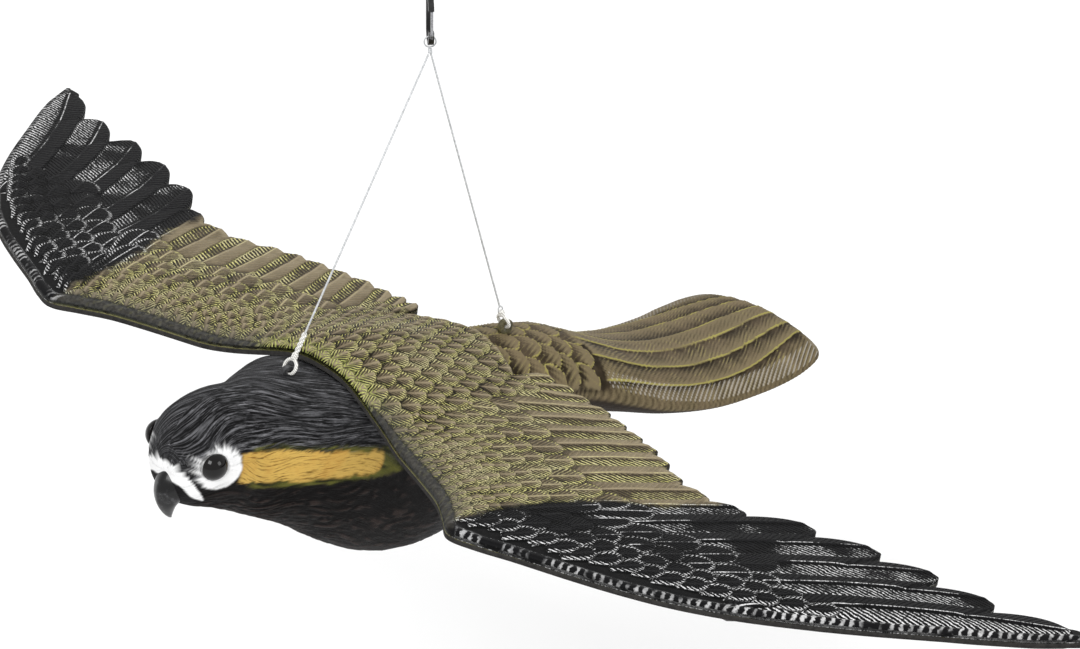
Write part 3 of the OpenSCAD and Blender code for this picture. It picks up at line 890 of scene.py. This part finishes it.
def body_mesh_parts():
    ys = body_stations()
    na = 256
    a = np.linspace(-np.pi / 2, 1.5 * np.pi, na, endpoint=False)
    y = ys[:, None] * np.ones(na)
    zt, zw, zb, w = (smooth_at(BODY_ROWS, c, y) for c in (1, 2, 3, 4))
    sn, cs = np.sin(a)[None], np.cos(a)[None]
    x = w * cs
    z = np.where(sn > 0, zw + (zt - zw) * sn, zw + (zw - zb) * sn)
    # rings that close the flat front of the head
    closing = np.array([0.04, 0.3, 0.55, 0.8])[:, None]
    grids = [y, w, sn + 0 * y, cs + 0 * y]
    y, w, sn, cs = (np.concatenate([np.repeat(g[:1], 4, 0), g]) for g in grids)
    ys = np.concatenate([ys[:1].repeat(4), ys])
    z = np.concatenate([zw[:1] + (z[:1] - zw[:1]) * closing, z])
    x = np.concatenate([x[:1] * closing, x])
    return ys, na, x, y, z, sn, cs, w


def body_paint(x, y, z, sn):
    """Masks of the painted areas on the bird's frame."""
    ax = np.abs(x)
    wob = lattice_noise(y / 2.2, z / 1.6 + 9, 31) - 0.5
    fine = lattice_noise(y / 3.0, z / 0.55 + 3, 32) - 0.5
    top = np.interp(y, [-37, -24, -11, 5, 24], [-17.6, -18.6, -19.6, -20.8, -23.2]) + 2.0 * fine
    low = np.interp(y, [-37, -22, -10, 8, 24], [-29.6, -32.0, -32.8, -32.5, -32.0]) - 1.6 * fine
    out = {}
    rear = np.sqrt(np.maximum((z + 28) ** 2 / 36 + ((y - 16) / 6) ** 2 * (y > 16), 0))
    stripe_end = 1 - ease((rear - 1.15) / 0.3) * (y > 16)
    out["stripe"] = band_mask(z, low, top, 1.3) * ease((y + 38) / 2.5) * (ax > 6) * (y < 60) * stripe_end
    out["stripe_edge"] = band_mask(z, low - 2.6, top + 2.2, 1.8) * ease((y + 34) / 6) * (ax > 6) * (y < 60)
    ry, rz = (y + 45.2) / 9.0, (z + 22.4) / 9.2
    rad = np.sqrt(ry * ry + rz * rz)
    ang = np.arctan2(rz, ry)
    upper = np.clip(0.4 - np.cos(ang + 0.9), 0, 1)
    ragged = (0.05 + 0.3 * upper) * (lattice_noise(ang * 16 + 90, rad * 0.8, 33) - 0.5) + 0.03 * wob
    out["ring"] = (1 - ease((rad + ragged - 0.95) / (0.14 + 0.25 * upper) + 0.5)) * (ax > 6)
    # the white band runs over the root of the beak and down to a point at the gape
    steps = [-56.8, -56.4, -55.3, -53.1, -50, -48]
    upper_edge = np.interp(y, steps, [-24.2, -25, -26.9, -30.1, -34, -36.6])
    lower_edge = np.interp(y, steps, [-30.8, -30.9, -32.3, -34.9, -36.4, -37.2])
    out["band"] = band_mask(z + 0.5 * fine, lower_edge, upper_edge, 0.8) * (y < -47.5)
    out["lore"] = (1 - ease((z - lower_edge) / 0.8 + 0.5)) * (1 - ease((y + 51) / 3))
    out["throat"] = ease((-26 - z) / 6) * (1 - ease((y - 60) / 30))
    out["rump"] = ease((y - 88) / 12)
    out["under"] = ease((-0.12 - sn) / 0.2) * ease((y - 100) / 20)
    return out


def head_relief(x, y, z, w, sn):
    """Lengthwise plumage streaks of the head and the wavy grooves of the breast."""
    arc = np.arctan2(sn, x / w) * w
    warp = 3.0 * lattice_noise(y / 14, arc / 10, 41)
    # the streaks rise over the forehead and run back along the crown and round the eye
    rise = 14 * np.exp(-(((y + 60) / 16) ** 2)) * np.sign(x)
    dy, dz = y - EYE[1], z - EYE[2]
    round_eye = 5.0 * np.exp(-(dy * dy + dz * dz) / 260) * np.sign(dz + 0.01)
    flow = arc + rise * 0.6 + round_eye + 0.12 * y + warp
    streak = 1 - np.abs(2 * lattice_noise(flow / 1.5, y / 12, 42) - 1)
    crown = 0.30 * (streak - 0.5)
    wavy = lattice_noise((arc + 1.6 * np.sin(y / 4.5) + warp) / 1.15, y / 5, 44)
    breast = 0.6 * (np.abs(wavy - 0.5) * 2) ** 0.7
    low = ease((-34 - z) / 5)
    flow_map = np.stack([flow / 0.9, y / 11, np.zeros_like(y)], -1)
    return crown * (1 - low) + (breast - 0.4) * low, flow_map


def body_piece(mat):
    ys, na, x, y, z, sn, cs, w = body_mesh_parts()
    paint = body_paint(x, y, z, sn)
    head, flow_map = head_relief(x, y, z, w, sn)
    th, line, loud = tail_relief(x, y)
    rh, rim = rump_relief(x, y)
    on_top = ease(sn / 0.25)
    tail_in = ease((y - 150) / 6)
    rump_in = ease((y - 92) / 4) * (1 - tail_in)
    rear = ease((y - 75) / 15)
    calm = np.clip((TAIL_END_Y - y) / 8, 0, 1)
    h = head * (1 - rear) + rear * on_top * (tail_in * th * 0.9 * calm + rump_in * rh)
    under_barbs = 0.5 + 0.5 * np.cos(2 * np.pi * (y - np.abs(x)) / 2.6)
    h = h + rear * (1 - on_top) * 0.22 * under_barbs * calm
    eye_d = np.sqrt((y - EYE[1]) ** 2 + (z - EYE[2]) ** 2)
    lid = np.where(np.abs(x) > 8, np.exp(-(((eye_d - 6.3) / 0.8) ** 2)) * 0.35, 0)
    h = h * np.where(np.abs(x) > 8, ease((eye_d - 5.4) / 2.5), 1) + lid
    h = h * (1 - paint["lore"] * 0.6)
    seat = np.where((np.abs(x) > 8) & (eye_d < 5.0), -0.9, 0)
    flat = np.minimum(1, w / 12)
    vx = x + (h * flat + seat) * cs
    vz = z + (h * flat + seat * 0.2) * sn
    verts = hang(np.stack([vx, y, vz], -1).reshape(-1, 3))
    n = len(ys)
    i, j = np.meshgrid(np.arange(n - 1), np.arange(na), indexing="ij")
    a = (i * na + j).ravel()
    b = (i * na + (j + 1) % na).ravel()
    quads = np.stack([a, b, b + na, a + na], 1)
    caps = [np.arange(na)[None, ::-1], ((n - 1) * na + np.arange(na))[None]]
    me = mesh_from("body_skin", verts, [quads, *caps])
    raised = np.where(
        rear > 0.5, np.clip((h - blur(h, 4)) / 0.35, -1, 1), np.clip((h - blur(h, 5)) / 0.22, -1, 1)
    )
    set_attribute(me, "raised", raised.ravel())
    for k in ("stripe", "stripe_edge", "ring", "band", "lore", "throat", "rump", "under"):
        set_attribute(me, k, paint[k].ravel())
    brush = on_top * (tail_in * np.maximum(line, 0.55 * ease((loud - 0.45) / 0.2)) + rump_in * rim * 0.8)
    fringe = ease((np.abs(x) / w - 0.72) / 0.1) * (1 - ease((np.abs(x) / w - 0.97) / 0.03)) * tail_in * on_top
    set_attribute(me, "brush", brush.ravel())
    set_attribute(me, "fringe", (fringe * (0.5 + 0.5 * np.cos(2 * np.pi * (y - np.abs(x)) / 2.0))).ravel())
    set_attribute(me, "flow", flow_map.reshape(-1, 3))
    me.materials.append(mat)
    ob = new_object("body_plumage", me, "bird")
    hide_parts("body_shell")
    return ob


def body_material():
    m = Nodes("body_plumage", 0.6, Specular_IOR_Level=0.06)
    raised = m.attribute("raised")
    grain = m.noise(650, 4)
    patches = m.noise(70, 3)
    scuff = m.noise(1500, 2)
    # this mask is the relief's height above its surroundings plus scuffs: the colours below use it for
    # painted shade in the hollows, painted highlight on what stands up, and scuffed wear
    wear_and_relief = m.add(raised, m.mul(m.sub(scuff, 0.5), 0.6))
    flow = m.attribute("flow", "Vector")
    hairs = m.noise(1.0, 4.0, 0.65, flow)
    fine_hairs = m.noise(2.3, 3.0, 0.6, flow)
    hair = m.add(m.mul(m.ramp(hairs, 0.46, 0.66), 0.6), m.mul(m.ramp(fine_hairs, 0.5, 0.7), 0.5))
    # painted highlight: the hair streaks grow lighter on what stands up
    shine = m.mul(hair, m.add(0.45, m.mul(m.ramp(wear_and_relief, -0.3, 0.6), 0.6)))
    head = m.mix(shine, rgb(15, 15, 16), rgb(142, 142, 146))
    # painted shade and highlight: the lower breast darker in the hollows and lighter on what stands up
    low = m.mix(m.ramp(wear_and_relief, 0.0, 1.3), rgb(11, 9, 9), rgb(50, 41, 38))
    colour = m.mix(m.attribute("throat"), head, low)
    # painted shade and highlight: the rump's olive darker in the hollows and lighter on what stands up
    olive = m.mix(m.ramp(wear_and_relief, -0.7, 0.5), rgb(40, 33, 22), rgb(116, 104, 78))
    olive = m.mix(m.mul(m.ramp(patches, 0.4, 0.7), 0.35), olive, rgb(120, 104, 82))
    colour = m.mix(m.attribute("rump"), colour, olive)
    strong = m.ramp(m.mul(m.attribute("brush"), m.add(0.55, scuff)), 0.35, 0.85)
    colour = m.mix(m.mul(strong, 0.7), colour, rgb(168, 160, 84))
    frosty = m.ramp(m.mul(m.attribute("fringe"), m.add(0.5, patches)), 0.45, 0.8)
    colour = m.mix(m.mul(frosty, 0.5), colour, rgb(190, 184, 172))
    colour = m.mix(m.attribute("under"), colour, m.mix(grain, rgb(30, 25, 21), rgb(52, 44, 36)))
    # painted shade and highlight: the stripe's border darker in the hollows and lighter on what stands up
    edge = m.mix(m.ramp(wear_and_relief, -0.3, 0.6), rgb(40, 42, 20), rgb(104, 104, 44))
    colour = m.mix(m.mul(m.attribute("stripe_edge"), 0.75), colour, edge)
    fibre = m.ramp(m.add(m.mul(hairs, 0.6), m.mul(fine_hairs, 0.4)), 0.36, 0.52)
    stripe = m.mix(fibre, rgb(104, 78, 32), rgb(204, 168, 88))
    stripe = m.mix(m.mul(m.ramp(patches, 0.45, 0.7), 0.4), stripe, rgb(184, 132, 58))
    colour = m.mix(m.attribute("stripe"), colour, stripe)
    # painted shade: the white ring and band greyed in the hollows, full white on what stands up and along the
    # hair streaks
    white = m.mix(m.ramp(m.add(wear_and_relief, m.mul(hairs, 0.6)), -0.8, 0.1), rgb(170, 170, 170), rgb(242, 242, 242))
    colour = m.mix(m.attribute("lore"), colour, rgb(24, 23, 24))
    whites = m.top(m.attribute("ring"), m.attribute("band"))
    colour = m.mix(whites, colour, white)
    m.colour(colour)
    m.rough(m.add(0.45, m.mul(grain, 0.25)))
    headness = m.inv(m.attribute("rump"))
    m.bump(m.add(m.mul(grain, 0.3), m.mul(hair, headness)), 0.5, 0.0005)
    return m.mat


body_piece(body_material())


# ---------------------------------------------------------------- beak and eyes
def loft_mesh(name, rings):
    """Closed skin round rings with the same number of points, in the bird's frame."""
    rings = np.asarray(rings, float)
    n, k = rings.shape[:2]
    i, j = np.meshgrid(np.arange(n - 1), np.arange(k), indexing="ij")
    a = (i * k + j).ravel()
    b = (i * k + (j + 1) % k).ravel()
    quads = np.stack([a, b, b + k, a + k], 1)
    caps = [np.arange(k)[None, ::-1], ((n - 1) * k + np.arange(k))[None]]
    return mesh_from(name, hang(rings.reshape(-1, 3)), [quads, *caps])


def beak_piece():
    m = Nodes("beak_gloss", 0.2, Specular_IOR_Level=0.35)
    wear_and_relief = m.noise(260, 4)
    m.colour(m.mix(m.ramp(wear_and_relief, 0.5, 0.75), rgb(14, 14, 15), rgb(66, 66, 68)))
    m.bump(wear_and_relief, 0.2, 0.0003)
    m.rough(m.add(0.12, m.mul(wear_and_relief, 0.25)))
    t = np.linspace(0, len(BEAK_ROWS) - 1, 46)
    rows = np.array(BEAK_ROWS, float)
    idx = np.arange(len(rows))
    table = np.concatenate([idx[:, None], rows], 1)
    cy, cz, tilt, hw, hd = (smooth_at(table, c, t) for c in (1, 2, 3, 4, 5))
    a = np.linspace(0, 2 * np.pi, 48, endpoint=False)
    rings = []
    for k in range(len(t)):
        # a ridge along the top, a groove at the gape and a dent at each nostril
        s, c = np.sin(a), np.cos(a)
        ridge = 1 + 0.07 * np.exp(-((a - np.pi / 2) / 0.25) ** 2)
        gape = 1 - 0.06 * np.exp(-((np.sin(a) + 0.45) / 0.12) ** 2) * (1 - t[k] / 6)
        dent = np.exp(-(((t[k] - 0.95) / 0.16) ** 2)) * np.exp(-((np.abs(c) - 0.82) / 0.10) ** 2)
        r = ridge * gape * (1 - 0.16 * dent * (s > 0))
        h = hd[k] * s * r
        th = np.radians(tilt[k])
        rings.append(np.stack([hw[k] * c * r, cy[k] - h * np.sin(th), cz[k] + h * np.cos(th)], -1))
    me = loft_mesh("beak", rings)
    me.materials.append(m.mat)
    return new_object("beak", me, "bird")


def eye_piece(side):
    m = Nodes("eye_gloss_" + ("left" if side > 0 else "right"), 0.06, Specular_IOR_Level=0.3)
    tone = m.noise(120, 2)
    m.colour(m.mix(tone, rgb(7, 6, 6), rgb(16, 13, 12)))
    m.rough(m.add(0.03, m.mul(tone, 0.04)))
    # the dome's profile from its seat to its crown: radius and height along the eye's axis
    ang = np.linspace(math.radians(66), 0, 26)
    prof = [(5.25, 0.0), (5.4, 0.3), (5.38, 0.75)]
    prof += [(EYE_R * math.sin(b), -1.4 + EYE_R * math.cos(b)) for b in ang if EYE_R * math.cos(b) > 2.3]
    prof[-1] = (0.02, prof[-1][1])
    k = 64
    a = np.linspace(0, 2 * np.pi, k, endpoint=False)
    axis = np.array([side * math.cos(EYE_SPLAY), -math.sin(EYE_SPLAY), 0])
    across = np.array([side * math.sin(EYE_SPLAY), math.cos(EYE_SPLAY), 0])
    up = np.array([0, 0, 1.0])
    centre = np.array([side * EYE[0], EYE[1], EYE[2]])
    rings = [centre + axis * h + r * (np.outer(np.cos(a), across) + np.outer(np.sin(a), up)) for r, h in prof]
    if side < 0:
        rings = [q[::-1] for q in rings]
    me = loft_mesh("eye", rings)
    me.materials.append(m.mat)
    ob = new_object("eye_dome_" + ("left" if side > 0 else "right"), me, "bird")
    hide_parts("eye_left" if side > 0 else "eye_right")
    return ob


beak_piece()
for side in (1, -1):
    eye_piece(side)


# ---------------------------------------------------------------- hardware and the CAD nodes that stay
def mottled(name, dark, light, rough, scale=400.0, **sockets):
    m = Nodes(name, rough, **sockets)
    grain = m.noise(scale, 4)
    m.colour(m.mix(m.ramp(grain, 0.3, 0.7), dark, light))
    m.rough(m.add(rough * 0.8, m.mul(grain, rough * 0.4)))
    m.bump(grain, 0.2, 0.0002)
    return m.mat


def dress(nodes, mat):
    for name in nodes:
        ob = frame["nodes"][name]
        ob.data.materials.clear()
        ob.data.materials.append(mat)


dress(["clip_body"], mottled("black_enamel", rgb(14, 14, 15), rgb(30, 30, 31), 0.3, 900))
dress(
    ["clip_gate", "clip_gate_pin", "clip_gate_spring", "eye_washer_left", "eye_washer_right"],
    mottled("plain_steel", rgb(126, 127, 130), rgb(176, 177, 180), 0.32, 1200, Metallic=0.9),
)
dress(["front_lug"], mottled("lug_black", rgb(26, 26, 28), rgb(62, 62, 64), 0.55, 500))
dress(["rear_lug"], mottled("lug_olive", rgb(52, 48, 34), rgb(104, 98, 66), 0.55, 500))
dress(["wing_pegs"], mottled("peg_black", rgb(22, 22, 22), rgb(40, 40, 40), 0.5, 500))


def top_hardware():
    knot = curve_object(
        "line_knot", helix(APEX + np.array([0, 0, -0.0010]), APEX + np.array([0, 0, 0.0010]), 0.0006, 4, 160),
        0.0006, "knot", LINE_MAT,
    )
    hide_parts("top_knot")


top_hardware()
dress(["top_loop"], LINE_MAT)


# ---------------------------------------------------------------- floor and light
FLOOR_Z, FLOOR_HALF = -0.42, 6
# name, place, size and power of each soft light
LIGHTS = [
    ("key", (0.5, -1.6, 1.6), 1.0, 26),
    ("side", (1.8, 0.6, 0.9), 0.9, 10),
    ("back", (-1.2, 1.4, 1.4), 1.2, 14),
]
AIM = (0, 0, -0.15)


def stage_floor():
    m = Nodes("pale_floor", 0.9)
    grain = m.noise(8, 3)
    m.colour(m.mix(grain, (0.93, 0.93, 0.93, 1), (0.96, 0.96, 0.96, 1)))
    a, z = FLOOR_HALF, FLOOR_Z
    verts = np.array([(-a, -a, z), (a, -a, z), (a, a, z), (-a, a, z)])
    me = mesh_from("floor", verts, [np.array([[0, 1, 2, 3]])], False)
    me.materials.append(m.mat)
    ob = bpy.data.objects.new("floor", me)
    bpy.context.collection.objects.link(ob)


def area_light(name, place, size, power):
    li = bpy.data.lights.new(name, "AREA")
    li.size = size
    li.energy = power
    ob = bpy.data.objects.new(name, li)
    ob.location = place
    d = np.array(place) - np.array(AIM)
    d = d / np.linalg.norm(d)
    pitch = math.acos(d[2])
    ob.rotation_euler = (pitch, 0, math.atan2(d[1], d[0]) + math.pi / 2)
    bpy.context.collection.objects.link(ob)


def studio():
    world = bpy.data.worlds.new("studio")
    bpy.context.scene.world = world
    world.use_nodes = True
    back = world.node_tree.nodes["Background"]
    back.inputs["Color"].default_value = (1, 1, 1, 1)
    back.inputs["Strength"].default_value = 0.75
    for light in LIGHTS:
        area_light(*light)
    bpy.context.scene.view_settings.view_transform = "Standard"


stage_floor()
studio()
